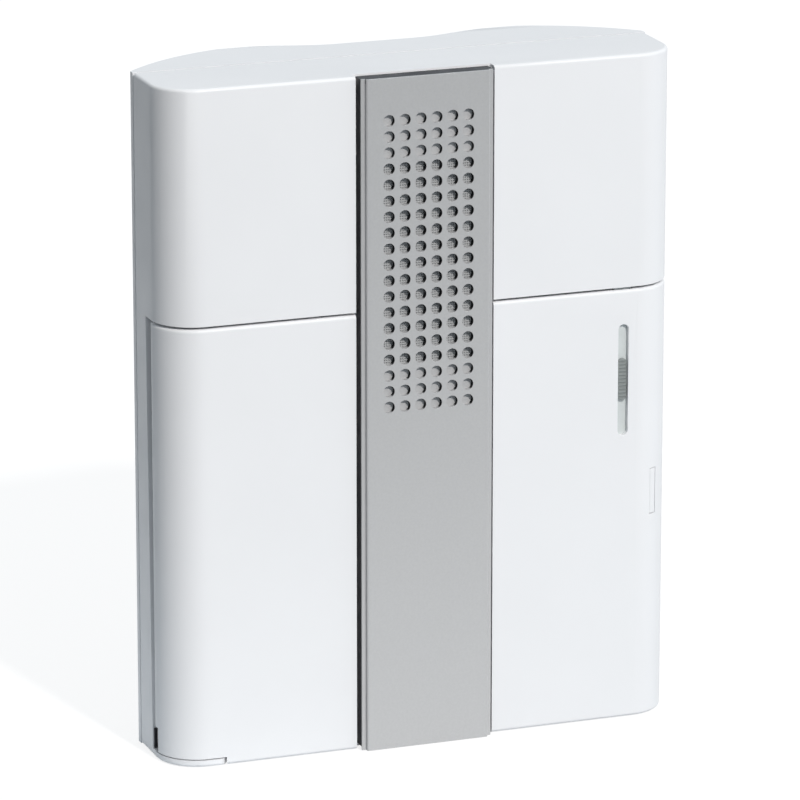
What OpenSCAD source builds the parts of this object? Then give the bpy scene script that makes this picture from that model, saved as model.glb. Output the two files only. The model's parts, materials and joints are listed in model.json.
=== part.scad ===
// Electronic wall chime with a hinged service door and a perforated metal strip.
// Millimetres. X runs to the right, Y into the wall and Z up.
// The origin is the middle of the wall face.

/* [Case] */
// Width over the side walls
case_w = 156.5; // [154:0.5:170]
// Height over the top and bottom walls
case_h = 200; // [198:1:220]
// Depth of the rear base, from the wall to the shadow gap
base_d = 21.5; // [20:0.5:24]
// Depth of the front shell, from the shadow gap to the front face
front_d = 26.5; // [26:0.5:32]
// Plan radius of the front corners
corner_r = 12.5; // [9:0.5:12.5]
// Wall of the front cover and the door
wall = 2.2; // [1.8:0.1:2.4]
// Wall of the base
base_wall = 2; // [1.6:0.1:2.4]
// Radius of the rolled top and bottom edges
edge_r = 1; // [0.6:0.1:1.4]
// Shadow gap between the base and the front cover
shadow_gap = 0.7; // [0.4:0.1:1]
// Height of the parting line between cover and door
part_z = 30.9; // [29:0.1:33]
// Gap at the parting line
part_gap = 0.8; // [0.7:0.1:1]

/* [Base] */
// Width of the floor of the cable channel in the back
channel_w = 24; // [22:1:28]
// Depth of the cable channel in the back
channel_d = 5; // [4.5:0.1:6]
// Outer edge of each wall pad, from the middle
pad_x = 46; // [44:0.5:48]
// Inner edge of each wall pad, from the middle
pad_in_x = 38; // [36:0.5:40]
// Bulge of the curved back on each side of the pads
back_bulge = 2.6; // [1.5:0.1:3]
// Depth of the straight rim next to the shadow gap
rim_d = 2.5; // [2:0.1:4]
// Distance between the wall screws across
screw_span_x = 62; // [60:1:66]
// Distance between the wall screws up and down
screw_span_z = 168; // [160:1:172]
// Diameter of the wall screw holes
wall_hole_d = 4.5; // [4:0.1:5]
// Diameter of the cable entry
cable_d = 8; // [6:0.5:10]
// Height of the cable entry
cable_z = -62; // [-70:1:-50]

/* [Strip] */
// Width of the flat face of the strip
strip_face_w = 36.7; // [34:0.1:38]
// Chamfer along each edge of the strip
strip_chamfer = 0.3; // [0.2:0.1:0.5]
// Height of the strip above the front face
strip_proud = 2.8; // [2.4:0.1:3]
// Thickness of the strip
strip_t = 1.8; // [1.7:0.1:2]
// Width of the ledge along each side of the strip
strip_ledge_w = 1.3; // [1:0.1:1.5]
// Depth of the ledge below the face of the strip
strip_ledge_d = 1.2; // [1:0.1:1.3]
// Gap beside the strip
strip_gap = 1; // [0.9:0.1:1.3]
// Depth of the channel that the strip lies in
strip_channel_d = 3; // [2.6:0.1:3.4]
// Diameter of the perforations
hole_d = 3.4; // [2.6:0.1:3.8]
// Pitch of the perforations across
hole_pitch_x = 4.8; // [4.6:0.1:5]
// Pitch of the perforations down
hole_pitch_z = 4.67; // [4.5:0.01:4.8]
// Height of the top row of perforations
hole_top_z = 87.2; // [86:0.1:90]

/* [Hinge and catch] */
// Distance from the shadow gap to the hinge axis
hinge_d = 14; // [13.8:0.1:14.2]
// Radius of the knuckle along the door edge
knuckle_r = 1.7; // [1.6:0.1:1.8]
// Radius of the hinge pins
pin_r = 0.8; // [0.7:0.05:0.9]
// Angle of the catch round the corner, from the front
catch_angle = 28.5; // [25:0.5:32]
// Height of the middle of the catch
catch_z = -31.5; // [-34:0.5:-29]
// Height of the catch tab
catch_h = 13.6; // [12:0.1:15]
// Width of the catch tab
catch_w = 2.2; // [2:0.1:2.6]

/* [Volume slider] */
// Distance of the slider from the right side
slider_inset = 16.85; // [16:0.05:19]
// Height of the middle of the slider
slider_z = 3.5; // [2:0.1:5]
// Length of the slot
slot_h = 33.5; // [32:0.1:36]
// Width of the slot
slot_w = 3.2; // [3:0.1:3.6]
// Length of the thumb knob
knob_h = 12.7; // [11:0.1:13]

/* [Speaker] */
// Diameter of the loudspeaker
speaker_d = 57; // [54:0.5:58]
// Height of the loudspeaker axis
speaker_z = 45; // [44:0.5:46]
// Depth of the loudspeaker basket
basket_d = 12; // [11:0.5:13]

/* [Batteries] */
// Diameter of a cell
cell_d = 25.8; // [25:0.1:26.2]
// Length of a cell with its cap
cell_h = 50; // [49:0.1:50]
// Distance of the cells from the left side
cell_inset = 28.25; // [27:0.05:29.5]
// Room between the battery tray and the bottom of the case
tray_room = 5; // [4:0.5:6]

/* [Circuit board] */
// Width of the board
board_w = 38; // [37:0.5:39]
// Height of the board
board_h = 74; // [72:0.5:76]
// Thickness of the board
board_t = 1.6; // [1.2:0.1:2]
// Room between the board and the right side of the case
board_room = 6.25; // [5.5:0.05:7]
// Height of the middle of the board
board_z = -9; // [-10:0.5:-8]

/* [Hidden] */
$fn = 48;
half_w = case_w / 2;
half_h = case_h / 2;
slider_x = half_w - slider_inset;
cell_x = half_w - cell_inset;
tray_z = -half_h + tray_room;
board_x = half_w - board_room - board_w / 2;
gap_y = -base_d;
front_y = gap_y - front_d;
base_front_y = gap_y + shadow_gap / 2;
cover_back_y = gap_y - shadow_gap / 2;
cover_bottom_z = part_z + part_gap / 2;
door_top_z = part_z - part_gap / 2;
past = 1;

// Clearances
running_gap = 0.05;
moving_gap = 0.4;
seat_gap = 0.3;

// Base
lip_t = 1.2;
lip_h = 2.5;
rim_t = wall + seat_gap + lip_t;
floor_y = -(channel_d + base_wall);
slope = (base_d - rim_d) / (half_w - pad_x);
slope_skin = base_wall * sqrt(1 + slope * slope);
floor_half_w = half_w - (base_d + floor_y + slope_skin - rim_d) / slope;
post_r = 3;
base_pilot_l = 10;
tray_pilot_l = 4.5;
case_screw_l = 12;
post_screw_l = 9;
tray_screw_l = 5;
strip_screw_l = wall + 3;
strip_pilot_l = 3.4;
tray_seat_t = 1.5;
boss_r = 4.2;
boss_front_d = 3.7;
screw_r = 1.45;
screw_hole_r = 1.7;
pilot_r = 1.5;
head_r = 2.8;
head_h = 1.6;
case_boss_x = half_w - 8.25;
case_boss_z = half_h - 9;
case_seat_t = 3;
wall_head_r = 5;
wall_pad_t = 2;
wall_pad_r = wall_head_r + 2;
grommet_flange_r = cable_d / 2 + 4;
grommet_neck_r = cable_d / 2 + 2;
grommet_flange_t = 1.5;

// Strip and its channel
plate_half_w = strip_face_w / 2 + strip_chamfer;
strip_half_w = plate_half_w + strip_ledge_w;
channel_half_w = strip_half_w + strip_gap;
strip_y = front_y - strip_proud;
strip_back_y = strip_y + strip_t;
strip_ledge_y = strip_y + strip_ledge_d;
strip_skin = 1;
channel_y = front_y + strip_channel_d;
cover_channel_y = channel_y + seat_gap + 0.2;
strip_top_z = half_h - 0.5;
hole_cols = 6;
hole_rows = 19;
blind_rows = 3;
dimple_d = strip_t - 0.3;
carrier_cap_h = 1.3;
screen_t = 0.4;
screen_gap = 0.1;
window_half_w = hole_pitch_x * 2.5 + hole_d / 2 + 1.5;
window_top_z = hole_top_z - hole_pitch_z * (blind_rows - 0.5);
window_bottom_z = hole_top_z - hole_pitch_z * (hole_rows - blind_rows - 0.5);
strip_screw_x = plate_half_w - 8;
strip_screw_zs = [-20, -half_h + 10];

// Hinge: the knuckle touches the line of the side wall
hinge_x = -(half_w - knuckle_r);
hinge_y = gap_y - hinge_d;
frame_edge_top = hinge_d - 5.2;
frame_edge_bottom = hinge_d - 3;
frame_right_d = hinge_d - moving_gap;
lug_t = 2;
lug_r = 19.2;
lug_gap = 0.85;
pin_room_h = 7.7;
pin_grip = 8;
knuckle_bottom_z = -half_h + lug_t + pin_room_h;
bush_r = 1.2;
hinge_boss_h = 5;
hinge_boss_r = 2.6;

// Catch, drawn in its own frame: the outward normal is minus Y
catch_gap = 0.2;
catch_flange_w = 5.2;
catch_flange_t = 1.2;
catch_flange_y = -(corner_r - wall) + 0.7;
catch_spring_h = 3;
catch_wire = 0.4;
catch_plate_t = 1.2;
catch_leg = 1.4;
catch_back_y = catch_flange_y + catch_flange_t + catch_spring_h;

// Board and slider
board_y = gap_y - 12;
board_back_y = board_y + board_t;
board_edge_x = board_x - board_w / 2 + 2.5;
board_screw_x = board_w / 2 - 4;
board_screw_z = board_h / 2 - 4;
pot_w = 7.2;
pot_h = 40;
pot_d = 6.5;
pot_slot_w = 2;
pot_slot_h = 26;
pot_slot_d = 5;
lever_w = 1.2;
lever_h = 4;
lever_y = board_y - pot_d + 4;
knob_w = slot_w - 0.6;
knob_y = front_y + 0.5;
knob_flange_w = 5;
knob_flange_h = knob_h + 3;
knob_travel = 10;
shutter_t = 0.8;
shutter_h = slot_h + 2 * knob_travel + 2;
slot_skin = 0.9;
knob_flange_y = front_y + slot_skin + moving_gap;
knob_back_y = knob_flange_y + 2;
switch_w = 6;
switch_d = 3.6;
switch_x = board_x - 11;
switch_z = board_z - 5;
button_r = 1.6;
button_proud = 2;
button_sink = 2.2;
terminal_w = 18;
terminal_h = 9;
terminal_d = 8;
terminal_z = board_z - board_h / 2 + 12;
terminal_pitch = 6;
terminal_x = board_x - 5;
terminal_bore_r = 2.2;
terminal_bore_d = 5;
terminal_screw_r = 1.9;
terminal_slot = 0.7;
wire_hole_r = 1.5;
chip_w = 7;
chip_d = 4;
melody_chip_h = 20;
amplifier_chip_h = 10;
large_can = [3.2, 8.5];
small_can = [2.5, 6];
resistor_r = 1;
resistor_l = 5;
resistor_span = 8;
resistor_pitch = 3;

// Speaker, along Y
speaker_r = speaker_d / 2;
flange_t = 1;
gasket_t = 1;
speaker_y = front_y + strip_channel_d + wall + 3.2;
flange_back_y = speaker_y + flange_t;
ear_x = speaker_r - 3.5;
ear_r = 4;
basket_top_r = speaker_r - 2.5;
basket_foot_r = 16;
basket_t = 1;
basket_back_y = flange_back_y + basket_d;
coil_hole_r = 8;
magnet_h = 8;
magnet_floor = 2.5;
pole_r = 6.3;
coil_in_r = 6.8;
coil_out_r = 7.3;
surround_w = 3.5;
surround_t = 0.5;
cone_rim_r = basket_top_r - seat_gap - surround_w;
cone_t = 0.6;
cone_neck_y = flange_back_y + 9;
cone_rim_y = speaker_y;
cone_front_neck_y = cone_neck_y - cone_t * 1.5;
cone_slope = (cone_rim_y - cone_t - cone_front_neck_y) / (cone_rim_r - coil_in_r);
dome_r = 12;
dome_t = 0.6;
dome_rim_r = 9.5;
coil_back_y = basket_back_y + 3;
tag_w = 10;
tag_h = 2;
tag_d = 3;
tag_z = speaker_z - ear_x - ear_r + 0.3;

// Batteries
cell_r = cell_d / 2;
cap_r = 3;
cap_h = 1.5;
cell_gap = 0.1;
tray_wall = 1.6;
cell_y = floor_y - base_wall - cell_r - tray_wall;
tray_x = -cell_x;
tray_half_w = cell_r + tray_wall;
tray_front_y = cell_y - 10;
tray_end_t = 2;
contact_t = 0.5;
contact_half_w = 6;
contact_front_y = tray_front_y - 0.7;
cell_skin = 0.3;
leaf_room = 3;
tray_h = 2 * tray_end_t + 2 * contact_t + leaf_room + 2 * cell_h;
tray_top_z = tray_z + tray_h;
cell_low_z = tray_z + tray_end_t + contact_t + leaf_room;
bay_r = cell_r + 0.5;
tray_screw_z = [tray_z + 0.28 * tray_h, tray_z + 0.7 * tray_h];
wire_r = 0.6;

// Basic shapes

// Extrudes a plan between two heights
module rise(z0, z1) {
    translate([0, 0, z0]) linear_extrude(z1 - z0) children();
}

// Round bar along Y
module bar_y(x, z, r, y0, y1) {
    translate([x, y0, z]) rotate([-90, 0, 0]) cylinder(r = r, h = y1 - y0);
}

// Box from its low corner to its high corner
module block(low, high) {
    translate(low) cube(high - low);
}

// Turns a profile of radius and depth about an axis along Y
module turned_y(x, z) {
    translate([x, 0, z]) rotate([-90, 0, 0]) rotate_extrude($fn = 96) children();
}

// Screw along Y with its head towards the front (side 1) or the wall (side -1)
module screw_y(x, z, seat_y, length, side) {
    bar_y(x, z, screw_r, side > 0 ? seat_y : seat_y - length, side > 0 ? seat_y + length : seat_y);
    difference() {
        bar_y(x, z, head_r, side > 0 ? seat_y - head_h : seat_y, side > 0 ? seat_y : seat_y + head_h);
        slot_y = side > 0 ? seat_y - head_h : seat_y + head_h;
        for (turn = [0, 90])
            translate([x, slot_y, z]) rotate([0, turn, 0]) cube([head_r * 1.1, head_h, 0.7], center = true);
    }
}

// Plan of the front shell, drawn in by an inset
module shell_plan(inset = 0) {
    back_l = front_d - corner_r - shadow_gap / 2;
    translate([-(half_w - inset), front_y + corner_r]) square([2 * (half_w - inset), back_l]);
    translate([-(half_w - corner_r), front_y + inset])
        square([2 * (half_w - corner_r), corner_r - inset]);
    for (side = [-1, 1])
        translate([side * (half_w - corner_r), front_y + corner_r]) circle(corner_r - inset, $fn = 64);
}

// Rolled edge that runs round the front shell at one height
module rolled_edge(z) {
    back_l = front_d - corner_r - shadow_gap / 2;
    for (side = [-1, 1]) {
        translate([side * (half_w - edge_r), front_y + corner_r, z])
            rotate([-90, 0, 0]) cylinder(r = edge_r, h = back_l);
        translate([side * (half_w - corner_r), front_y + corner_r, z])
            rotate([0, 0, side > 0 ? -90 : 180])
                rotate_extrude(angle = 90, $fn = 64)
                    translate([corner_r - edge_r, 0]) circle(edge_r, $fn = 32);
    }
    translate([-(half_w - corner_r), front_y + edge_r, z])
        rotate([0, 90, 0]) cylinder(r = edge_r, h = 2 * (half_w - corner_r));
}

// Front shell solid between two heights, with its upper or lower edge rolled
module shell_solid(z0, z1, roll_top, roll_bottom) {
    low = z0 + (roll_bottom ? edge_r : 0);
    high = z1 - (roll_top ? edge_r : 0);
    rise(low, high) shell_plan();
    rise(z0, z1) shell_plan(edge_r);
    if (roll_top) rolled_edge(high);
    if (roll_bottom) rolled_edge(low);
}

// Inside of the front shell, open towards the wall
module shell_hollow(z0, z1) {
    rise(z0, z1) {
        shell_plan(wall);
        translate([-(half_w - wall), front_y + corner_r]) square([2 * (half_w - wall), front_d]);
    }
}

// Casing

// Points of a shallow arc between two points, bulging to the right of the way from a to b
function arc(a, b, bulge, steps) =
    let (
        half = norm(b - a) / 2,
        r = (half * half + bulge * bulge) / (2 * bulge),
        along = (b - a) / (2 * half),
        out = [along.y, -along.x],
        centre = (a + b) / 2 - out * (r - bulge),
        reach = asin(half / r)
    )
    [for (i = [0:steps])
        let (t = reach * (2 * i / steps - 1)) centre + r * (out * cos(t) + along * sin(t))];

// Points of a smooth step down between two points
function ramp(a, b, steps) = [for (i = [0:steps])
    let (t = i / steps) [a.x + (b.x - a.x) * t, a.y + (b.y - a.y) * (1 - cos(180 * t)) / 2]];

// Half of the base outline, from the rim to the cable channel
function base_half() = concat(
    [[half_w, base_front_y]],
    arc([half_w, gap_y + rim_d], [pad_x, 0], back_bulge, 12),
    ramp([pad_in_x, 0], [channel_w / 2, -channel_d], 12)
);
function flip_x(points) = [for (i = [len(points) - 1:-1:0]) [-points[i].x, points[i].y]];

module base_outer_plan() {
    polygon(concat(base_half(), flip_x(base_half())));
}

// Inside of the base, with its sloping sides drawn in by a clearance
module base_inner_plan(inset = 0) {
    x = half_w - rim_t - inset;
    rim_y = gap_y + rim_d + slope * rim_t - slope_skin - inset;
    half = [[x, front_y], [x, rim_y], [floor_half_w - 2 * inset, floor_y]];
    polygon(concat(half, flip_x(half)));
}

// Places of the four case screws, speaker posts and board posts as [x, z]
case_screw_places = [for (x = [-1, 1]) for (z = [-1, 1]) [x * case_boss_x, z * case_boss_z]];
speaker_places = [for (x = [-1, 1]) for (z = [-1, 1]) [x * ear_x, speaker_z + z * ear_x]];
board_places = [for (x = [-1, 1]) for (z = [-1, 1])
    [board_x + x * board_screw_x, board_z + z * board_screw_z]];
wall_screw_places = [for (x = [-1, 1]) for (z = [-1, 1])
    [x * screw_span_x / 2, z * screw_span_z / 2]];

module base_lip() {
    x = half_w - wall - seat_gap;
    z = half_h - wall - seat_gap;
    difference() {
        block([-x, gap_y - lip_h, -z], [x, base_front_y + past, z]);
        block([-(x - lip_t), gap_y - lip_h - past, -(z - lip_t)],
            [x - lip_t, base_front_y + 2 * past, z - lip_t]);
    }
}

module base_posts() {
    intersection() {
        rise(-half_h, half_h) {
            base_outer_plan();
            translate([-half_w, front_y]) square([case_w, base_front_y - front_y]);
        }
        union() {
            for (p = case_screw_places) bar_y(p[0], p[1], boss_r, gap_y, 0);
            for (p = speaker_places) bar_y(p[0], p[1], post_r, flange_back_y, floor_y + past);
            for (p = board_places) bar_y(p[0], p[1], post_r, board_back_y, 0);
        }
    }
}

module base_shell() {
    color("white") difference() {
        union() {
            difference() {
                rise(-half_h, half_h) base_outer_plan();
                rise(-(half_h - rim_t), half_h - rim_t) base_inner_plan();
            }
            base_lip();
            base_posts();
            for (p = wall_screw_places) bar_y(p[0], p[1], wall_pad_r, floor_y, 0);
        }
        for (p = case_screw_places) {
            bar_y(p[0], p[1], screw_hole_r, gap_y - past, past);
            bar_y(p[0], p[1], head_r + seat_gap, gap_y + case_seat_t, past);
        }
        for (p = speaker_places)
            bar_y(p[0], p[1], pilot_r, flange_back_y - past, flange_back_y + base_pilot_l);
        for (p = board_places) bar_y(p[0], p[1], pilot_r, board_back_y - past, board_back_y + base_pilot_l);
        for (p = wall_screw_places) {
            bar_y(p[0], p[1], wall_hole_d / 2, floor_y - past, past);
            bar_y(p[0], p[1], wall_head_r, floor_y - past, -wall_pad_t);
        }
        for (z = tray_screw_z) bar_y(-cell_x, z, pilot_r, floor_y - past, floor_y + tray_pilot_l);
        bar_y(0, cable_z, grommet_neck_r, floor_y - past, past);
    }
}

// Left frame beside the door, with its tapered front edge
module left_frame() {
    points = [
        [cover_back_y, -half_h], [gap_y - frame_edge_bottom, -half_h],
        [gap_y - frame_edge_top, cover_bottom_z + past], [cover_back_y, cover_bottom_z + past]
    ];
    translate([-half_w, 0, 0]) rotate([90, 0, 90]) linear_extrude(wall) polygon(points);
}

module lower_frame() {
    intersection() {
        shell_solid(-half_h, cover_bottom_z + past, false, true);
        union() {
            left_frame();
            block([half_w - wall, gap_y - frame_right_d, -half_h],
                [half_w, cover_back_y, cover_bottom_z + past]);
            block([-half_w, gap_y - frame_right_d, -half_h], [half_w, cover_back_y, -half_h + wall]);
            translate([hinge_x, hinge_y, -half_h]) cylinder(r = lug_r, h = lug_t, $fn = 96);
        }
    }
}

// Sunken floor that the strip lies over
module strip_floor(z0, z1, floor_plane_y) {
    block([-(channel_half_w + wall), front_y + edge_r, z0],
        [channel_half_w + wall, floor_plane_y + wall, z1]);
}

module cover_bosses() {
    rib_y = gap_y - lip_h - 2 * seat_gap;
    boss_front_y = gap_y - frame_edge_bottom;
    for (p = case_screw_places) {
        bar_y(p[0], p[1], boss_r, p[1] > 0 ? front_y + boss_front_d : boss_front_y, gap_y);
        if (p[1] < 0)
            block([p[0] - boss_r / 2, boss_front_y, -half_h + edge_r], [p[0] + boss_r / 2, rib_y, p[1]]);
    }
    intersection() {
        translate([hinge_x, hinge_y, cover_bottom_z]) cylinder(r = hinge_boss_r, h = hinge_boss_h);
        rise(cover_bottom_z, cover_bottom_z + hinge_boss_h) shell_plan();
    }
}

module front_cover() {
    color("white") difference() {
        union() {
            difference() {
                shell_solid(cover_bottom_z, half_h, true, false);
                shell_hollow(cover_bottom_z - past, half_h - wall);
            }
            strip_floor(cover_bottom_z, half_h - wall, cover_channel_y);
            lower_frame();
            cover_bosses();
        }
        block([-channel_half_w, strip_y, cover_bottom_z - past],
            [channel_half_w, cover_channel_y, half_h + past]);
        block([-window_half_w, strip_y, cover_bottom_z - past],
            [window_half_w, cover_channel_y + wall + past, window_top_z]);
        shutter_room();
        translate([hinge_x, hinge_y, -half_h - past]) cylinder(r = pin_r, h = lug_t + 2 * past);
        translate([hinge_x, hinge_y, cover_bottom_z - past]) cylinder(r = pin_r, h = hinge_boss_h + past);
        for (p = case_screw_places) bar_y(p[0], p[1], pilot_r, gap_y - base_pilot_l, gap_y + past);
    }
}

// Door

module at_catch() {
    translate([half_w - corner_r, front_y + corner_r, catch_z]) rotate([0, 0, catch_angle]) children();
}

module catch_bracket() {
    outer = catch_h / 2 + 1.8 + catch_leg;
    at_catch() difference() {
        block([-catch_flange_w / 2, -(corner_r - wall / 2), -outer],
            [catch_flange_w / 2, catch_back_y + catch_plate_t, outer]);
        block([-catch_flange_w, -corner_r, -(outer - catch_leg)],
            [catch_flange_w, catch_back_y, outer - catch_leg]);
    }
}

module door_body() {
    edge_y = hinge_y - moving_gap;
    difference() {
        intersection() {
            shell_solid(-half_h, door_top_z, true, true);
            union() {
                block([-half_w, front_y, -half_h], [half_w, edge_y, door_top_z]);
                block([-half_w, edge_y - past, -half_h], [-half_w + wall, hinge_y, door_top_z]);
            }
        }
        shell_hollow(-half_h + wall, door_top_z + past);
    }
    strip_floor(-half_h + edge_r, door_top_z, channel_y);
    translate([hinge_x, hinge_y, knuckle_bottom_z])
        cylinder(r = knuckle_r, h = door_top_z - knuckle_bottom_z);
    catch_bracket();
}

// Upright bar with round ends, on the middle of the slider
module slider_bar(w, h, y0, y1) {
    straight = (h - w) / 2;
    block([slider_x - w / 2, y0, slider_z - straight], [slider_x + w / 2, y1, slider_z + straight]);
    for (side = [-1, 1]) bar_y(slider_x, slider_z + side * straight, w / 2, y0, y1);
}

// Slot that the volume knob shows through
module slider_slot() {
    slider_bar(slot_w, slot_h, strip_y, front_y + wall + past);
}

// Room behind the slot for the shutter, over its whole travel
module shutter_room() {
    x = knob_flange_w / 2 + moving_gap;
    z = shutter_h / 2 + knob_travel + moving_gap;
    block([slider_x - x, front_y + slot_skin, slider_z - z],
        [slider_x + x, front_y + wall + past, slider_z + z]);
}

module service_door() {
    lug_top_z = -half_h + lug_t + moving_gap;
    bore_r = pin_r + running_gap;
    color("whitesmoke") difference() {
        door_body();
        translate([hinge_x, hinge_y, -half_h - past])
            cylinder(r = lug_r + lug_gap, h = lug_top_z + half_h + past, $fn = 96);
        block([-half_w - past, hinge_y - bush_r - moving_gap, -half_h],
            [hinge_x + knuckle_r + past, hinge_y + past, knuckle_bottom_z]);
        translate([hinge_x, hinge_y, knuckle_bottom_z - past]) cylinder(r = bore_r, h = pin_grip + past);
        translate([hinge_x, hinge_y, door_top_z - pin_grip]) cylinder(r = bore_r, h = pin_grip + past);
        block([-channel_half_w, strip_y, -half_h - past], [channel_half_w, channel_y, door_top_z + past]);
        block([-window_half_w, strip_y, window_bottom_z],
            [window_half_w, channel_y + wall + past, door_top_z + past]);
        slider_slot();
        shutter_room();
        for (x = [-1, 1]) for (z = strip_screw_zs)
            bar_y(x * strip_screw_x, z, screw_hole_r, channel_y - past, channel_y + wall + past);
        at_catch() block([-catch_w / 2 - catch_gap, -corner_r - past, -catch_h / 2 - catch_gap],
            [catch_w / 2 + catch_gap, catch_flange_y, catch_h / 2 + catch_gap]);
    }
}

module hinge_pins() {
    upper_low_z = door_top_z - pin_grip + seat_gap;
    lower_high_z = knuckle_bottom_z + pin_grip - seat_gap;
    color("silver") {
        translate([hinge_x, hinge_y, upper_low_z])
            cylinder(r = pin_r, h = cover_bottom_z + hinge_boss_h - upper_low_z);
        translate([hinge_x, hinge_y, -half_h]) cylinder(r = pin_r, h = lower_high_z + half_h);
    }
}

// Spacer on the lower pin, between the bottom wall and the knuckle
module hinge_bush() {
    low_z = -half_h + wall;
    color("black") translate([hinge_x, hinge_y, low_z]) difference() {
        cylinder(r = bush_r, h = knuckle_bottom_z - seat_gap - low_z);
        translate([0, 0, -past]) cylinder(r = pin_r, h = pin_room_h + 2 * past);
    }
}

// Dark core under the strip, with a cap that closes the top end
module strip_carrier() {
    low_z = -half_h + edge_r;
    color("dimgray") difference() {
        union() {
            block([-strip_half_w, strip_back_y, low_z], [strip_half_w, channel_y, strip_top_z]);
            strip_cap(strip_top_z);
        }
        block([-window_half_w, strip_y, window_bottom_z], [window_half_w, channel_y + past, window_top_z]);
        for (x = [-1, 1]) for (z = strip_screw_zs)
            bar_y(x * strip_screw_x, z, pilot_r, channel_y - strip_pilot_l, channel_y + past);
    }
}

// Space of the cap behind the skin of the strip's top end
module strip_cap(high_z) {
    block([-plate_half_w, strip_y + strip_skin, strip_top_z - carrier_cap_h],
        [plate_half_w, channel_y, high_z]);
}

// Dust screen behind the open perforations
module dust_screen() {
    w = window_half_w - screen_gap;
    color("gray") block([-w, strip_back_y, window_bottom_z + screen_gap],
        [w, strip_back_y + screen_t, window_top_z - screen_gap]);
}

// Half of the strip's section: a plate with a lower ledge along its side
function strip_half() = [
    [strip_half_w, strip_back_y], [strip_half_w, strip_ledge_y],
    [plate_half_w, strip_ledge_y], [plate_half_w, strip_y + strip_chamfer],
    [plate_half_w - strip_chamfer, strip_y]
];

module grille_strip() {
    color("lightgray") difference() {
        rise(-half_h, strip_top_z) polygon(concat(strip_half(), flip_x(strip_half())));
        strip_cap(strip_top_z + past);
        for (row = [0:hole_rows - 1]) for (col = [0:hole_cols - 1]) {
            open = row >= blind_rows && row < hole_rows - blind_rows;
            x = (col - (hole_cols - 1) / 2) * hole_pitch_x;
            back_y = strip_y + (open ? strip_t + past : dimple_d);
            bar_y(x, hole_top_z - row * hole_pitch_z, hole_d / 2, strip_y - past, back_y);
        }
    }
}

module strip_screws() {
    color("silver") for (x = [-1, 1]) for (z = strip_screw_zs)
        screw_y(x * strip_screw_x, z, channel_y + wall, strip_screw_l, -1);
}

module catch_tab() {
    color("whitesmoke") at_catch() {
        intersection() {
            block([-catch_w / 2, -corner_r, -catch_h / 2],
                [catch_w / 2, catch_flange_y + catch_flange_t, catch_h / 2]);
            cylinder(r = corner_r, h = 2 * catch_h, center = true, $fn = 96);
        }
        block([-catch_flange_w / 2, catch_flange_y, -catch_h / 2 - 1],
            [catch_flange_w / 2, catch_flange_y + catch_flange_t, catch_h / 2 + 1]);
    }
}

// Arched leaf between the tab and its bracket
module catch_spring() {
    y0 = catch_flange_y + catch_flange_t;
    t = catch_wire;
    z = catch_h / 2 - 1;
    flat = 1.5;
    points = [
        [y0, -flat], [y0, flat], [catch_back_y - t, z], [catch_back_y - t, z + flat],
        [catch_back_y, z + flat], [catch_back_y, z], [y0 + t, flat - t], [y0 + t, -flat + t],
        [catch_back_y, -z], [catch_back_y, -z - flat], [catch_back_y - t, -z - flat], [catch_back_y - t, -z]
    ];
    color("silver") at_catch() translate([-catch_w / 2, 0, 0]) rotate([90, 0, 90]) linear_extrude(catch_w)
        polygon(points);
}

// Volume slider and circuit board

module volume_knob() {
    ribs = 11;
    rib_pitch = (knob_h - 1) / ribs;
    rib_d = 0.3;
    color("gray") difference() {
        union() {
            slider_bar(knob_w, knob_h, knob_y, knob_flange_y + shutter_t + past);
            block([slider_x - knob_flange_w / 2, knob_flange_y + shutter_t, slider_z - knob_flange_h / 2],
                [slider_x + knob_flange_w / 2, knob_back_y, slider_z + knob_flange_h / 2]);
        }
        for (i = [0:ribs - 1])
            translate([slider_x, knob_y, slider_z + (i - (ribs - 1) / 2) * rib_pitch])
                cube([2 * knob_w, 2 * rib_d, rib_pitch / 2], center = true);
    }
}

// Dust shutter that closes the slot above and below the knob
module knob_shutter() {
    color("white") difference() {
        block([slider_x - knob_flange_w / 2, knob_flange_y, slider_z - shutter_h / 2],
            [slider_x + knob_flange_w / 2, knob_flange_y + shutter_t, slider_z + shutter_h / 2]);
        slider_bar(knob_w, knob_h, knob_flange_y - past, knob_flange_y + shutter_t + past);
    }
}

module pot_lever() {
    color("silver") block([slider_x - lever_w / 2, knob_back_y, slider_z - lever_h / 2],
        [slider_x + lever_w / 2, lever_y, slider_z + lever_h / 2]);
}

module slide_pot() {
    front = board_y - pot_d;
    color("darkslategray") difference() {
        block([slider_x - pot_w / 2, front, slider_z - pot_h / 2],
            [slider_x + pot_w / 2, board_y, slider_z + pot_h / 2]);
        block([slider_x - pot_slot_w / 2, front - past, slider_z - pot_slot_h / 2],
            [slider_x + pot_slot_w / 2, front + pot_slot_d, slider_z + pot_slot_h / 2]);
    }
}

module circuit_board() {
    color("darkgreen") difference() {
        block([board_x - board_w / 2, board_y, board_z - board_h / 2],
            [board_x + board_w / 2, board_back_y, board_z + board_h / 2]);
        for (p = board_places) bar_y(p[0], p[1], screw_hole_r, board_y - past, board_back_y + past);
        for (p = speaker_places) bar_y(p[0], p[1], post_r + moving_gap, board_y - past, board_back_y + past);
    }
}

// Chip body standing on the board on two rows of legs
module chip(x, z, w, h, d, legs) {
    stand = 0.6;
    leg_w = 0.6;
    leg_t = 0.5;
    pitch = h / legs;
    block([x - w / 2, board_y - d, z - h / 2], [x + w / 2, board_y - stand, z + h / 2]);
    for (side = [-1, 1]) for (i = [0:legs - 1])
        translate([x + side * (w - leg_t) / 2, board_y - d / 4, z + (i - (legs - 1) / 2) * pitch])
            cube([leg_t, d / 2, leg_w], center = true);
}

module melody_chip() {
    color("black") chip(board_x - 11.5, board_z + 11, chip_w, melody_chip_h, chip_d, 8);
}

module amplifier_chip() {
    color("black") chip(board_x - 1.5, board_z + 16, chip_w, amplifier_chip_h, chip_d, 4);
}

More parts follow.
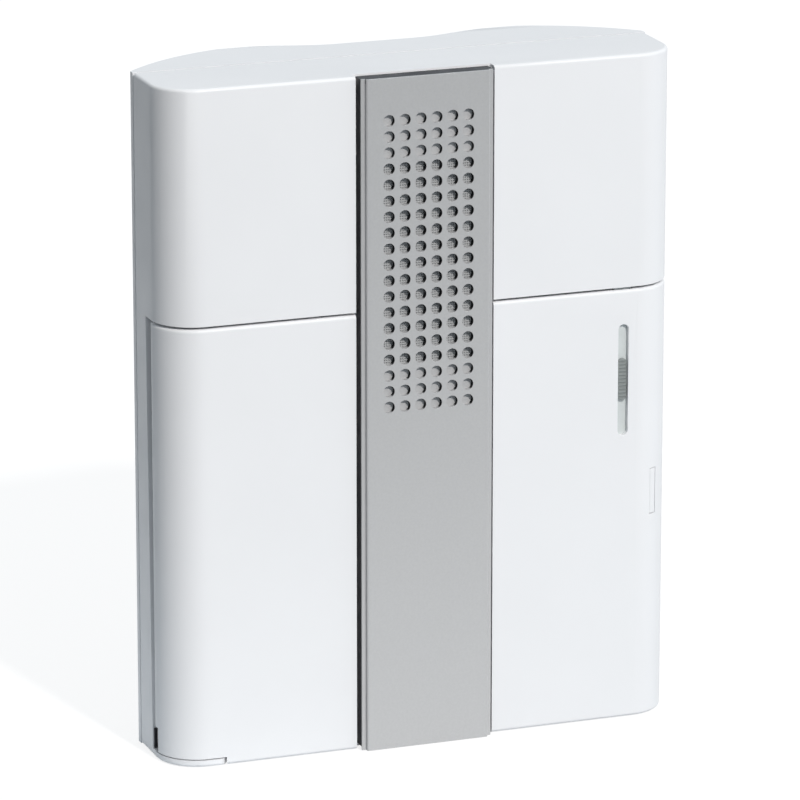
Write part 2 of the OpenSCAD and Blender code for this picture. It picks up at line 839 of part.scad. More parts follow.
// Round can with a rolled groove near its foot
module capacitor(x, z, r, h) {
    groove = 0.3;
    turned_y(x, z) polygon([
        [0, board_y - h], [r - groove, board_y - h], [r, board_y - h + groove],
        [r, board_y - 7 * groove], [r - groove, board_y - 6 * groove],
        [r - groove, board_y - 5 * groove], [r, board_y - 4 * groove], [r, board_y], [0, board_y]
    ]);
}

module capacitors() {
    color("navy") {
        capacitor(board_x - 1.5, board_z + 4, large_can[0], large_can[1]);
        capacitor(board_x - 1.5, board_z - 4, large_can[0], large_can[1]);
        capacitor(board_x - 8.5, board_z + 28, small_can[0], small_can[1]);
    }
}

// Axial resistor lying along X with its wire ends bent into the board
module resistor(x, z) {
    lead_r = resistor_r * 0.25;
    foot_r = lead_r * 1.4;
    y = board_y - resistor_r * 1.4;
    translate([x - resistor_l / 2, y, z])
        rotate([0, 90, 0]) cylinder(r = resistor_r, h = resistor_l, $fn = 24);
    translate([x - resistor_span / 2, y, z])
        rotate([0, 90, 0]) cylinder(r = lead_r, h = resistor_span, $fn = 16);
    for (side = [-1, 1]) bar_y(x + side * resistor_span / 2, z, foot_r, y - foot_r, board_y);
}

module resistors() {
    color("tan") for (i = [0:2])
        resistor(board_x + 9, board_z - 17.5 - resistor_pitch * i);
}

module melody_switch() {
    color("dimgray") difference() {
        block([switch_x - switch_w / 2, board_y - switch_d, switch_z - switch_w / 2],
            [switch_x + switch_w / 2, board_y, switch_z + switch_w / 2]);
        bar_y(switch_x, switch_z, button_r + seat_gap, board_y - switch_d - past, board_y - 0.6);
    }
}

module melody_button() {
    front = board_y - switch_d;
    color("firebrick") bar_y(switch_x, switch_z, button_r, front - button_proud, front + button_sink);
}

module terminal_block() {
    front = board_y - terminal_d;
    low_z = terminal_z - terminal_h / 2;
    color("seagreen") difference() {
        block([terminal_x - terminal_w / 2, front, low_z],
            [terminal_x + terminal_w / 2, board_y, low_z + terminal_h]);
        for (i = [-1:1]) {
            x = terminal_x + i * terminal_pitch;
            bar_y(x, terminal_z + past, terminal_bore_r, front - past, front + terminal_bore_d);
            translate([x, board_y - terminal_d * 0.44, low_z - past])
                cylinder(r = wire_hole_r, h = terminal_h / 3 + past);
        }
    }
}

module terminal_screws() {
    front = board_y - terminal_d + past;
    color("silver") for (i = [-1:1]) difference() {
        x = terminal_x + i * terminal_pitch;
        bar_y(x, terminal_z + past, terminal_screw_r, front, front - past + terminal_bore_d);
        translate([x, front, terminal_z + past])
            cube([terminal_screw_r * 1.6, terminal_screw_r * 0.6, terminal_slot], center = true);
    }
}

// Loudspeaker

module speaker_frame() {
    color("silver") difference() {
        union() {
            translate([0, speaker_y, speaker_z]) rotate([-90, 0, 0]) linear_extrude(flange_t) difference() {
                union() {
                    square([2 * (ear_x + ear_r), 2 * ear_x], center = true);
                    square([2 * ear_x, 2 * (ear_x + ear_r)], center = true);
                    for (x = [-1, 1]) for (z = [-1, 1]) translate([x * ear_x, z * ear_x]) circle(ear_r);
                }
                circle(basket_top_r + basket_t / 2, $fn = 96);
            }
            turned_y(0, speaker_z) polygon([
                [basket_top_r, speaker_y], [basket_top_r + basket_t, speaker_y],
                [basket_foot_r, basket_back_y],
                [coil_hole_r, basket_back_y], [coil_hole_r, basket_back_y - basket_t],
                [basket_foot_r - basket_t / 2, basket_back_y - basket_t]
            ]);
        }
        for (a = [0:90:270])
            translate([0, flange_back_y + basket_d / 2 - 0.5, speaker_z]) rotate([0, a, 0])
                translate([basket_foot_r, -3, -6]) cube([basket_foot_r, 6, 12]);
        for (p = speaker_places) bar_y(p[0], p[1], screw_hole_r, speaker_y - past, flange_back_y + past);
    }
}

module speaker_magnet() {
    r = basket_foot_r - 1;
    y0 = basket_back_y;
    y1 = basket_back_y + magnet_h;
    color("dimgray") turned_y(0, speaker_z) polygon([
        [coil_hole_r, y0], [r - 0.5, y0], [r, y0 + 0.5], [r, y1 - 0.5], [r - 0.5, y1], [0, y1], [0, y0 + 0.5],
        [pole_r, y0 + 0.5], [pole_r, y1 - magnet_floor], [coil_hole_r, y1 - magnet_floor]
    ]);
}

module speaker_cone() {
    color("black") turned_y(0, speaker_z) polygon([
        [coil_in_r, cone_front_neck_y], [cone_rim_r, cone_rim_y - cone_t], [cone_rim_r, cone_rim_y],
        [coil_out_r, cone_neck_y], [coil_in_r, cone_neck_y]
    ]);
}

module dust_cap() {
    rim_y = cone_front_neck_y + cone_slope * (dome_rim_r - coil_in_r);
    drop = sqrt(dome_r * dome_r - dome_rim_r * dome_rim_r);
    color("black") turned_y(0, speaker_z) intersection() {
        translate([0, rim_y + drop]) difference() {
            circle(dome_r, $fn = 96);
            circle(dome_r - dome_t, $fn = 96);
        }
        translate([0, rim_y - dome_r]) square([dome_rim_r, dome_r]);
    }
}

module voice_coil() {
    color("chocolate") turned_y(0, speaker_z)
        translate([coil_in_r, cone_neck_y]) square([coil_out_r - coil_in_r, coil_back_y - cone_neck_y]);
}

// Half roll between the cone and the frame
module speaker_surround() {
    mid_r = cone_rim_r + surround_w / 2;
    color("darkslategray") turned_y(0, speaker_z) {
        intersection() {
            translate([mid_r, speaker_y]) difference() {
                circle(surround_w / 2);
                circle(surround_w / 2 - surround_t);
            }
            translate([cone_rim_r, speaker_y - surround_w]) square([surround_w, surround_w]);
        }
        translate([cone_rim_r + surround_w - surround_t, speaker_y - surround_t])
            square([surround_t + 2 * seat_gap, surround_t]);
    }
}

module speaker_gasket() {
    color("black") turned_y(0, speaker_z)
        translate([basket_top_r + 2 * seat_gap, speaker_y - gasket_t])
            square([speaker_r - basket_top_r - 2 * seat_gap, gasket_t]);
}

module speaker_tags() {
    color("goldenrod")
        block([-tag_w / 2, flange_back_y, tag_z], [tag_w / 2, flange_back_y + tag_d, tag_z + tag_h]);
}

module speaker_screws() {
    color("silver") for (p = speaker_places) screw_y(p[0], p[1], speaker_y, post_screw_l, 1);
}

// Batteries

module battery_tray() {
    color("black") difference() {
        intersection() {
            block([tray_x - tray_half_w, tray_front_y, tray_z], [tray_x + tray_half_w, floor_y, tray_top_z]);
            rise(tray_z, tray_top_z) base_inner_plan(seat_gap);
        }
        translate([tray_x, cell_y, tray_z + tray_end_t])
            cylinder(r = bay_r, h = tray_h - 2 * tray_end_t, $fn = 96);
        block([tray_x - cell_d, cell_y - cell_d, tray_z + tray_end_t],
            [tray_x + cell_d, cell_y, tray_top_z - tray_end_t]);
        for (z = tray_screw_z) {
            bar_y(tray_x, z, screw_hole_r, cell_y, floor_y + past);
            bar_y(tray_x, z, head_r + seat_gap, cell_y, floor_y - tray_seat_t);
        }
    }
}

module cell_jackets() {
    color("steelblue") for (i = [0, 1])
        translate([tray_x, cell_y, cell_low_z + i * cell_h + cell_skin])
            cylinder(r = cell_r, h = cell_h - cap_h - 2 * cell_skin, $fn = 96);
}

module cell_ends() {
    color("silver") for (i = [0, 1]) translate([tray_x, cell_y, cell_low_z + i * cell_h]) {
        cylinder(r = cell_r - 1, h = cell_skin, $fn = 96);
        translate([0, 0, cell_h - cap_h - cell_skin]) cylinder(r = cell_r - 1.5, h = cell_skin, $fn = 96);
        translate([0, 0, cell_h - cap_h - cell_skin]) cylinder(r = cap_r, h = cap_h + cell_skin - cell_gap);
    }
}

module positive_contact() {
    z0 = cell_low_z + 2 * cell_h;
    color("gold") block([tray_x - contact_half_w, contact_front_y, z0],
        [tray_x + contact_half_w, cell_y + contact_half_w, z0 + contact_t]);
}

// Plate against the end wall with a leaf that lifts to the lower cell
module negative_contact() {
    z0 = tray_z + tray_end_t;
    z1 = cell_low_z;
    t = contact_t;
    back = cell_y + contact_half_w;
    points = [
        [contact_front_y, z0], [back, z0], [back, z0 + t], [contact_front_y + 4, z0 + t],
        [cell_y - 1, z1 - t], [cell_y + 2, z1 - t], [cell_y + 4, z1 - 2 * t],
        [cell_y + 4, z1 - t], [cell_y + 2, z1], [cell_y - 1, z1],
        [contact_front_y + 2, z0 + t], [contact_front_y, z0 + t]
    ];
    color("gold") translate([tray_x - contact_half_w / 2, 0, 0]) rotate([90, 0, 90])
        linear_extrude(contact_half_w) polygon(points);
}

// Wires

function unit(v) = v / norm(v);
// Point on a smooth curve through four route points
function curve_point(a, b, c, d, t) =
    0.5 * (2 * b + (c - a) * t + (2 * a - 5 * b + 4 * c - d) * t * t + (3 * b - a - 3 * c + d) * t * t * t);
function smooth(route, steps) = [
    for (i = [0:len(route) - 2]) for (k = [0:steps - 1])
        let (last = len(route) - 1)
        curve_point(route[max(i - 1, 0)], route[i], route[i + 1], route[min(i + 2, last)], k / steps),
    route[len(route) - 1]
];
function heading(p, i) = i == 0 ? unit(p[1] - p[0])
    : i == len(p) - 1 ? unit(p[i] - p[i - 1]) : unit(p[i + 1] - p[i - 1]);
// First side of a ring, square to its heading
function side_axis(h) = unit(cross(h, abs(h.z) < 0.8 ? [0, 0, 1] : [1, 0, 0]));
// Side of the ring before, turned square to the next heading
function carry(s, h) = unit(s - h * (s * h));
// Two sides of every ring along a route
function frames(p, i = 0, s = undef) = i == len(p) ? [] :
    let (h = heading(p, i), n = s == undef ? side_axis(h) : carry(s, h))
    concat([[n, cross(h, n)]], frames(p, i + 1, n));

// Tube of one radius swept along a smooth route
module tube(route, r, sides = 8, steps = 4) {
    p = smooth(route, steps);
    f = frames(p);
    n = len(p);
    points = [for (i = [0:n - 1]) for (k = [0:sides - 1])
        p[i] + r * (cos(360 * k / sides) * f[i][0] + sin(360 * k / sides) * f[i][1])];
    walls = [for (i = [0:n - 2]) for (k = [0:sides - 1])
        let (a = i * sides + k, b = i * sides + (k + 1) % sides)
        each [[b + sides, b, a], [a + sides, b + sides, a]]];
    first = [for (k = [0:sides - 1]) k];
    last = [for (k = [sides - 1:-1:0]) (n - 1) * sides + k];
    polyhedron(points = points, faces = concat(walls, [first, last]), convexity = 6);
}

module speaker_leads() {
    y = flange_back_y + tag_d / 2;
    color("firebrick") for (i = [0, 1]) {
        x = i == 0 ? 3 : -3;
        land_z = board_z + 14 - 4 * i;
        tube([[x, y, tag_z], [x, y, tag_z - 3], [x + 6, y, tag_z - 7 - i * 2.5],
            [board_edge_x - 8, y, land_z + 1], [board_edge_x, board_y - 3, land_z],
            [board_edge_x, board_y, land_z]], wire_r);
    }
}

module battery_leads() {
    y = contact_front_y;
    color("darkred") {
        z_top = cell_low_z + 2 * cell_h + contact_t / 2;
        tube([[tray_x + 4, y, z_top], [tray_x + 4, y - 3, z_top], [tray_x + 12, y - 4.5, z_top - 3],
            [-12, y - 3, -2], [board_edge_x - 8, y - 1.5, board_z + 5],
            [board_edge_x, board_y - 3, board_z + 4], [board_edge_x, board_y, board_z + 4]], wire_r);
        z_low = tray_z + tray_end_t + contact_t / 2;
        tube([[tray_x + 2, y, z_low], [tray_x + 2, y - 3, z_low], [tray_x + 12, y - 4, z_low + 4],
            [tray_x + tray_half_w + 4, y - 1, z_low + 24], [-8, y, -40], [board_edge_x - 8, y, board_z - 2],
            [board_edge_x, board_y - 3, board_z], [board_edge_x, board_y, board_z]], wire_r);
    }
}

// Fasteners and inlet

module case_screws() {
    color("silver") for (p = case_screw_places) screw_y(p[0], p[1], gap_y + case_seat_t, case_screw_l, -1);
}

module board_screws() {
    color("silver") for (p = board_places) screw_y(p[0], p[1], board_y, post_screw_l, 1);
}

module tray_screws() {
    color("silver") for (z = tray_screw_z) screw_y(tray_x, z, floor_y - tray_seat_t, tray_screw_l, 1);
}

module cable_grommet() {
    outer = floor_y + base_wall;
    r = cable_d / 2;
    color("black") turned_y(0, cable_z) polygon([
        [r, floor_y - grommet_flange_t], [grommet_flange_r, floor_y - grommet_flange_t],
        [grommet_flange_r, floor_y], [grommet_neck_r, floor_y], [grommet_neck_r, outer],
        [grommet_flange_r, outer],
        [grommet_flange_r, outer + grommet_flange_t], [r, outer + grommet_flange_t]
    ]);
}

base_shell();
front_cover();
service_door();
hinge_pins();
hinge_bush();
strip_carrier();
grille_strip();
dust_screen();
strip_screws();
catch_tab();
catch_spring();
volume_knob();
knob_shutter();
pot_lever();
slide_pot();
circuit_board();
melody_chip();
amplifier_chip();
capacitors();
resistors();
melody_switch();
melody_button();
terminal_block();
terminal_screws();
speaker_frame();
speaker_magnet();
speaker_cone();
dust_cap();
voice_coil();
speaker_surround();
speaker_gasket();
speaker_tags();
speaker_screws();
battery_tray();
cell_jackets();
cell_ends();
positive_contact();
negative_contact();
battery_leads();
speaker_leads();
case_screws();
board_screws();
tray_screws();
cable_grommet();
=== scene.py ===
import json
import math

import bmesh
import bpy
from mathutils import Matrix, Vector

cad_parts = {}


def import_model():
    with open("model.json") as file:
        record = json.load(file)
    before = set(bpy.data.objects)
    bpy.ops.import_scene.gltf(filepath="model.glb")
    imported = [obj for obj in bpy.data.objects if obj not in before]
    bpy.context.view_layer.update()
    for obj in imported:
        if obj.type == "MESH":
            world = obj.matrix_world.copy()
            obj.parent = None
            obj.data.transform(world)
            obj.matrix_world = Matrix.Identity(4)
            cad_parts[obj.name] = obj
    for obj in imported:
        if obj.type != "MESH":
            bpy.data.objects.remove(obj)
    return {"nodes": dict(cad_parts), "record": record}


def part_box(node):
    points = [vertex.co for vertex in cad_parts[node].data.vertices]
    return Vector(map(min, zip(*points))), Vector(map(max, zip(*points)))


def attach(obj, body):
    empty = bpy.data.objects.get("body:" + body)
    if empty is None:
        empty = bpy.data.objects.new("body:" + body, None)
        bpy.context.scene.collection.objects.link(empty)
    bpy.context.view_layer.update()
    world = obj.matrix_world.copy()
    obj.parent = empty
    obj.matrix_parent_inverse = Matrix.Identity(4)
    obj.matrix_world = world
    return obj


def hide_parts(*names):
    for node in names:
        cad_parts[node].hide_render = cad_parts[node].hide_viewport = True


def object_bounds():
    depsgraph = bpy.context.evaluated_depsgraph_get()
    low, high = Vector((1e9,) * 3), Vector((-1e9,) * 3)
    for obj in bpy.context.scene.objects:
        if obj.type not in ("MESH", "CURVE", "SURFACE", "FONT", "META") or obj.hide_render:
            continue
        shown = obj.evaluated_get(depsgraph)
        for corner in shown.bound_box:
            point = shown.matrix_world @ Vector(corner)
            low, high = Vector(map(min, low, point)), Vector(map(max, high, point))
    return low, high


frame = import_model()
cad_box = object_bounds()
scene = bpy.context.scene
nodes = frame["nodes"]
record = frame["record"]
body_of = {n: b for b, members in record["behaviour"]["bodies"].items() for n in members}
slot_of = {s["node"]: s["material_slot"] for s in record["subparts"]}


# Materials

MM = 0.001
NOISE_RANGE = (0.3, 0.7)


def set_range(node, low, high, to_low, to_high):
    """The four numbers of a Map Range node."""
    for key, number in (("From Min", low), ("From Max", high), ("To Min", to_low), ("To Max", to_high)):
        node.inputs[key].default_value = number


class Shader:
    """A Principled material with short calls for procedural detail in object space, in metres."""

    def __init__(self, name, base, roughness, metallic=0.0, **sockets):
        self.mat = bpy.data.materials.new(name)
        self.mat.use_nodes = True
        self.tree = self.mat.node_tree
        self.bsdf = self.tree.nodes["Principled BSDF"]
        self.base = base
        self.bsdf.inputs["Base Color"].default_value = (*base, 1)
        self.bsdf.inputs["Roughness"].default_value = roughness
        self.bsdf.inputs["Metallic"].default_value = metallic
        for key, value in sockets.items():
            self.bsdf.inputs[key.replace("_", " ")].default_value = value
        texture = self.tree.nodes.new("ShaderNodeTexCoord")
        self.coords, self.side = texture.outputs["Object"], texture.outputs["Normal"]
        self.normal = None

    def link(self, a, b):
        self.tree.links.new(a, b)

    def new(self, kind, **settings):
        node = self.tree.nodes.new(kind)
        for key, value in settings.items():
            setattr(node, key, value)
        return node

    def noise(self, scale, detail=2.0):
        node = self.new("ShaderNodeTexNoise")
        node.inputs["Scale"].default_value = scale
        node.inputs["Detail"].default_value = detail
        self.link(self.coords, node.inputs["Vector"])
        return node.outputs["Fac"]

    def axis(self, index):
        node = self.new("ShaderNodeSeparateXYZ")
        self.link(self.coords, node.inputs["Vector"])
        return node.outputs[index]

    def math(self, operation, a, b=None):
        node = self.new("ShaderNodeMath", operation=operation)
        for i, value in enumerate((a, b)):
            if value is None:
                continue
            if isinstance(value, (int, float)):
                node.inputs[i].default_value = value
            else:
                self.link(value, node.inputs[i])
        return node.outputs[0]

    def spread(self, value, low, high, to_low, to_high):
        node = self.new("ShaderNodeMapRange")
        self.link(value, node.inputs["Value"])
        set_range(node, low, high, to_low, to_high)
        return node.outputs["Result"]

    def mix(self, factor, a, b):
        node = self.new("ShaderNodeMix", data_type="RGBA")
        self.link(factor, node.inputs["Factor"])
        for key, value in (("A", a), ("B", b)):
            socket = [s for s in node.inputs if s.name == key and s.type == "RGBA"][0]
            if isinstance(value, tuple):
                socket.default_value = (*value, 1)
            else:
                self.link(value, socket)
        return [s for s in node.outputs if s.type == "RGBA"][0]

    def colour(self, output):
        self.link(output, self.bsdf.inputs["Base Color"])
        return self

    def mottled(self, scale, amount, detail=3.0):
        dark = tuple(c * (1 - amount) for c in self.base)
        light = tuple(min(1, c * (1 + amount)) for c in self.base)
        factor = self.spread(self.noise(scale, detail), *NOISE_RANGE, 0, 1)
        return self.colour(self.mix(factor, dark, light))

    def rough(self, scale, low, high):
        value = self.spread(self.noise(scale), *NOISE_RANGE, low, high)
        self.link(value, self.bsdf.inputs["Roughness"])
        return self

    def bump(self, height, strength, distance):
        node = self.new("ShaderNodeBump")
        node.inputs["Strength"].default_value = strength
        node.inputs["Distance"].default_value = distance
        self.link(height, node.inputs["Height"])
        if self.normal:
            self.link(self.normal, node.inputs["Normal"])
        self.normal = node.outputs["Normal"]
        self.link(self.normal, self.bsdf.inputs["Normal"])
        return self

    def grain(self, scale, strength, distance, detail=2.0):
        return self.bump(self.noise(scale, detail), strength, distance)


def white_case():
    s = Shader("case_white", (0.868, 0.865, 0.876), 0.42, Specular_IOR_Level=0.4)
    s.mottled(35, 0.008).rough(90, 0.38, 0.46)
    return s.grain(2600, 0.06, 0.00005).grain(28, 0.03, 0.0004, 1.0)


def strip_metal():
    """Brushed plate; the punched holes are matt inside, and painted shade colours their right and upper walls
    near black, the walls that face away from the light.
    """
    s = Shader("strip_metal", (0.535, 0.535, 0.538), 0.36, 0.4)
    floor_grey, wall_shade = (0.5, 0.5, 0.505), (0.01, 0.01, 0.011)
    rim, skin = 2 * MM, (0.1 * MM, 0.3 * MM)
    plate = s.spread(s.noise(1500, 4.0), *NOISE_RANGE, 0, 1)
    plate = s.mix(plate, tuple(c * 0.975 for c in s.base), tuple(c * 1.025 for c in s.base))
    facing = s.new("ShaderNodeSeparateXYZ")
    s.link(s.side, facing.inputs["Vector"])
    away = s.math("ADD", facing.outputs["X"], s.math("MULTIPLY", facing.outputs["Z"], 0.4))
    low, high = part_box("grille_strip")
    inside = s.math("LESS_THAN", s.math("ABSOLUTE", s.axis(0)), high.x - rim)
    inside = s.math("MULTIPLY", inside, s.math("GREATER_THAN", s.axis(2), low.z + rim))
    # Painted shade: hole walls facing left and downwards, away from the light, are coloured near black.
    shaded_wall = s.math("MULTIPLY", inside, s.spread(away, -0.4, -0.08, 1, 0))
    deep = s.math("MULTIPLY", inside, s.spread(s.axis(1), low.y + skin[0], low.y + skin[1], 0, 1))
    s.colour(s.mix(shaded_wall, s.mix(deep, plate, floor_grey), wall_shade))
    s.link(s.spread(deep, 0, 1, 0.4, 0), s.bsdf.inputs["Metallic"])
    s.link(s.spread(deep, 0, 1, 0.5, 0.05), s.bsdf.inputs["Specular IOR Level"])
    return s.rough(700, 0.33, 0.4).grain(3400, 0.1, 0.00004, 4.0)


def dark_plastic():
    s = Shader("dark_plastic", (0.03, 0.03, 0.035), 0.5)
    return s.mottled(120, 0.12).rough(200, 0.42, 0.58).grain(1800, 0.12, 0.00006)


def screen_mesh():
    """Fine square mesh, bars lighter than the openings between them."""
    s = Shader("screen_grey", (0.2, 0.205, 0.21), 0.7)
    pitch = 0.7 * MM
    turns = 2 * math.pi / pitch
    waves = [s.math("SINE", s.math("MULTIPLY", s.axis(i), turns)) for i in (0, 2)]
    bars = s.math("MAXIMUM", waves[0], waves[1])
    s.colour(s.mix(s.spread(bars, -0.4, 0.9, 0, 1), (0.24, 0.245, 0.25), (0.48, 0.486, 0.492)))
    return s.bump(bars, 0.6, 0.0002).rough(900, 0.6, 0.8)


def steel():
    s = Shader("steel", (0.6, 0.6, 0.6), 0.32, 1.0)
    return s.mottled(300, 0.06).rough(500, 0.24, 0.4).grain(1500, 0.06, 0.00003, 3.0)


def knob_grey():
    s = Shader("knob_grey", (0.27, 0.29, 0.285), 0.5)
    return s.mottled(400, 0.05).rough(300, 0.44, 0.56).grain(2200, 0.1, 0.00005)


def board_green():
    """Lacquered board with raised copper tracks."""
    s = Shader("board_green", (0.03, 0.18, 0.08), 0.3, Coat_Weight=0.3)
    wander = s.math("MULTIPLY", s.noise(55, 0.0), 12 * MM)
    lanes = s.math("FRACT", s.math("MULTIPLY", s.math("ADD", s.axis(0), wander), 420))
    track = s.math("LESS_THAN", lanes, 0.42)
    rows = s.math("FRACT", s.math("MULTIPLY", s.axis(2), 62))
    gap = s.math("GREATER_THAN", rows, 0.12)
    copper = s.math("MULTIPLY", track, gap)
    s.colour(s.mix(copper, (0.018, 0.13, 0.055), (0.045, 0.24, 0.1)))
    return s.bump(copper, 0.3, 0.00004).rough(250, 0.24, 0.36).grain(2600, 0.04, 0.00003)


def capacitor_sleeve():
    s = Shader("capacitor_sleeve", (0.03, 0.05, 0.16), 0.28, Coat_Weight=0.2)
    return s.mottled(200, 0.1).rough(180, 0.22, 0.36).grain(900, 0.05, 0.00004)


def resistor_body():
    """Banded bodies with bare wire at both ends."""
    s = Shader("resistor_body", (0.62, 0.47, 0.3), 0.4)
    low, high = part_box("resistors")
    off = s.math("ABSOLUTE", s.math("SUBTRACT", s.axis(0), (low.x + high.x) / 2))
    band = s.math("LESS_THAN", s.math("FRACT", s.math("MULTIPLY", s.axis(0), 900)), 0.4)
    body = s.mix(band, s.base, (0.3, 0.09, 0.04))
    wire = s.math("GREATER_THAN", off, 2.52 * MM)
    s.colour(s.mix(wire, body, (0.5, 0.5, 0.5)))
    return s.rough(300, 0.34, 0.5).grain(1600, 0.06, 0.00004)


def simple(name, base, rough, scale, amount=0.08, metallic=0.0, strength=0.1):
    """A plain material with a little mottling, uneven gloss and grain."""
    s = Shader(name, base, rough, metallic)
    s.mottled(scale, amount).rough(scale * 1.7, rough * 0.85, min(1, rough * 1.15))
    return s.grain(scale * 8, strength, 0.00006, 3.0)


def cone_paper():
    s = Shader("cone_paper", (0.4, 0.405, 0.41), 0.8)
    s.mottled(900, 0.25, 4.0).rough(500, 0.72, 0.9)
    return s.grain(2400, 0.5, 0.0001, 4.0)


def copper_coil():
    s = Shader("copper", (0.6, 0.28, 0.14), 0.3, 1.0)
    turns = s.math("FRACT", s.math("MULTIPLY", s.axis(1), 5000))
    return s.bump(turns, 0.5, 0.00006).mottled(400, 0.08).rough(300, 0.24, 0.4)


def cell_sleeve():
    """Plain two-colour sleeve, banded at the same height on each cell."""
    s = Shader("cell_sleeve", (0.1, 0.2, 0.42), 0.3, Coat_Weight=0.3)
    low = nodes["cell_jackets"].bound_box[0][2]
    step = s.math("FRACT", s.math("MULTIPLY", s.math("SUBTRACT", s.axis(2), low), 20))
    band = s.math("GREATER_THAN", step, 0.72)
    s.colour(s.mix(band, s.base, (0.55, 0.38, 0.2)))
    return s.rough(160, 0.25, 0.38).grain(700, 0.04, 0.00005)


SLOTS = {
    "case_white": white_case(),
    "strip_metal": strip_metal(),
    "screen_grey": screen_mesh(),
    "shutter_grey": simple("shutter_grey", (0.62, 0.65, 0.645), 0.5, 250, 0.03, strength=0.06),
    "dark_plastic": dark_plastic(),
    "steel": steel(),
    "knob_grey": knob_grey(),
    "board_green": board_green(),
    "capacitor_sleeve": capacitor_sleeve(),
    "resistor_body": resistor_body(),
    "button_red": simple("button_red", (0.5, 0.05, 0.04), 0.45, 300),
    "terminal_green": simple("terminal_green", (0.06, 0.3, 0.16), 0.45, 250),
    "ferrite": simple("ferrite", (0.06, 0.06, 0.065), 0.55, 400, 0.2, strength=0.25),
    "cone_paper": cone_paper(),
    "copper": copper_coil(),
    "surround_rubber": simple("surround_rubber", (0.03, 0.03, 0.03), 0.65, 500, 0.15, strength=0.2),
    "tag_board": simple("tag_board", (0.5, 0.36, 0.18), 0.55, 350, 0.12),
    "cell_sleeve": cell_sleeve(),
    "contact_brass": simple("contact_brass", (0.75, 0.6, 0.3), 0.28, 300, 0.06, 1.0, 0.06),
    "lead_red": simple("lead_red", (0.5, 0.03, 0.03), 0.4, 300, 0.06),
    "lead_black": simple("lead_black", (0.03, 0.03, 0.03), 0.4, 300, 0.1),
    "grommet_rubber": simple("grommet_rubber", (0.03, 0.03, 0.03), 0.7, 450, 0.15, strength=0.25),
}


def dress(obj, slot):
    obj.data.materials.clear()
    obj.data.materials.append(SLOTS[slot].mat)


for name, obj in nodes.items():
    dress(obj, slot_of[name])


# Copies with rounded edges

EDGE_WIDTHS = {
    "front_cover": 0.25 * MM,
    "service_door": 0.3 * MM,
    "base_shell": 0.4 * MM,
    "grille_strip": 0.1 * MM,
    "catch_tab": 0.2 * MM,
    "volume_knob": 0.1 * MM,
}


def soften(name, width, segments=2, angle=32):
    """A copy of a CAD node with its sharp edges rounded, which stands for the node."""
    mesh = nodes[name].data.copy()
    bm = bmesh.new()
    bm.from_mesh(mesh)
    bmesh.ops.remove_doubles(bm, verts=bm.verts, dist=2e-6)
    bmesh.ops.dissolve_limit(bm, angle_limit=math.radians(0.6), use_dissolve_boundaries=False,
                             verts=bm.verts, edges=bm.edges)
    bm.to_mesh(mesh)
    bm.free()
    obj = bpy.data.objects.new(name + "_soft", mesh)
    scene.collection.objects.link(obj)
    bevel = obj.modifiers.new("edges", "BEVEL")
    bevel.width = width
    bevel.segments = segments
    bevel.limit_method = "ANGLE"
    bevel.angle_limit = math.radians(angle)
    bevel.harden_normals = True
    mesh.shade_smooth()
    mesh.set_sharp_from_angle(angle=math.radians(angle))
    dress(obj, slot_of[name])
    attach(obj, body_of[name])
    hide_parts(name)
    return obj


soft = {name: soften(name, width) for name, width in EDGE_WIDTHS.items()}
flat = soft["grille_strip"].modifiers.new("flat faces", "WEIGHTED_NORMAL")
flat.weight = 100
flat.keep_sharp = True


# Small parts

board_low, board_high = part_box("circuit_board")
board_x, board_z = (board_low.x + board_high.x) / 2, (board_low.z + board_high.z) / 2
board_y = board_low.y


def piece(name, mesh, body, slot, smooth_angle=35):
    """Puts a mesh in the scene as a piece that rides on a body."""
    obj = bpy.data.objects.new(name, mesh)
    scene.collection.objects.link(obj)
    mesh.shade_smooth()
    mesh.set_sharp_from_angle(angle=math.radians(smooth_angle))
    dress(obj, slot)
    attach(obj, body)


def mesh_of(name, verts, faces):
    """A mesh with all its faces turned outwards."""
    mesh = bpy.data.meshes.new(name)
    mesh.from_pydata(verts, [], faces)
    bm = bmesh.new()
    bm.from_mesh(mesh)
    bmesh.ops.recalc_face_normals(bm, faces=bm.faces)
    bm.to_mesh(mesh)
    bm.free()
    return mesh


def close(faces, start, n):
    """Walls and ends between two outlines of n points, one stored after the other."""
    for i in range(n):
        k = (i + 1) % n
        faces.append((start + i, start + k, start + n + k, start + n + i))
    faces.append(tuple(start + i for i in range(n)))
    faces.append(tuple(start + n + i for i in range(n)))


def prism(verts, faces, outline, z0, z1):
    """Adds a plan outline of (x, y) points, extruded between two heights."""
    start = len(verts)
    for z in (z0, z1):
        verts.extend((x, y, z) for x, y in outline)
    close(faces, start, len(outline))


def chip_legs(chip, count):
    """Two rows of bent legs that come out of the middle of a chip's sides."""
    low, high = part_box(chip)
    middle_x = (low.x + high.x) / 2
    half = (high.x - low.x) / 2
    t, out, drop, sunk, half_wide = 0.25 * MM, 0.55 * MM, 2.3 * MM, 0.1 * MM, 0.28 * MM
    leg = [(-sunk, -drop), (out, -drop), (out + t, -drop + t), (out + 2 * t, 0),
           (out + t, 0), (out, -drop + 2 * t), (-sunk, -drop + t)]
    verts, faces = [], []
    pitch = (high.z - low.z) / count
    for side in (-1, 1):
        outline = [(middle_x + side * (half + x), board_y + y) for x, y in leg]
        for i in range(count):
            z = low.z + (i + 0.5) * pitch
            prism(verts, faces, outline, z - half_wide, z + half_wide)
    piece(chip + "_legs", mesh_of(chip + "_legs", verts, faces), body_of[chip], "steel")


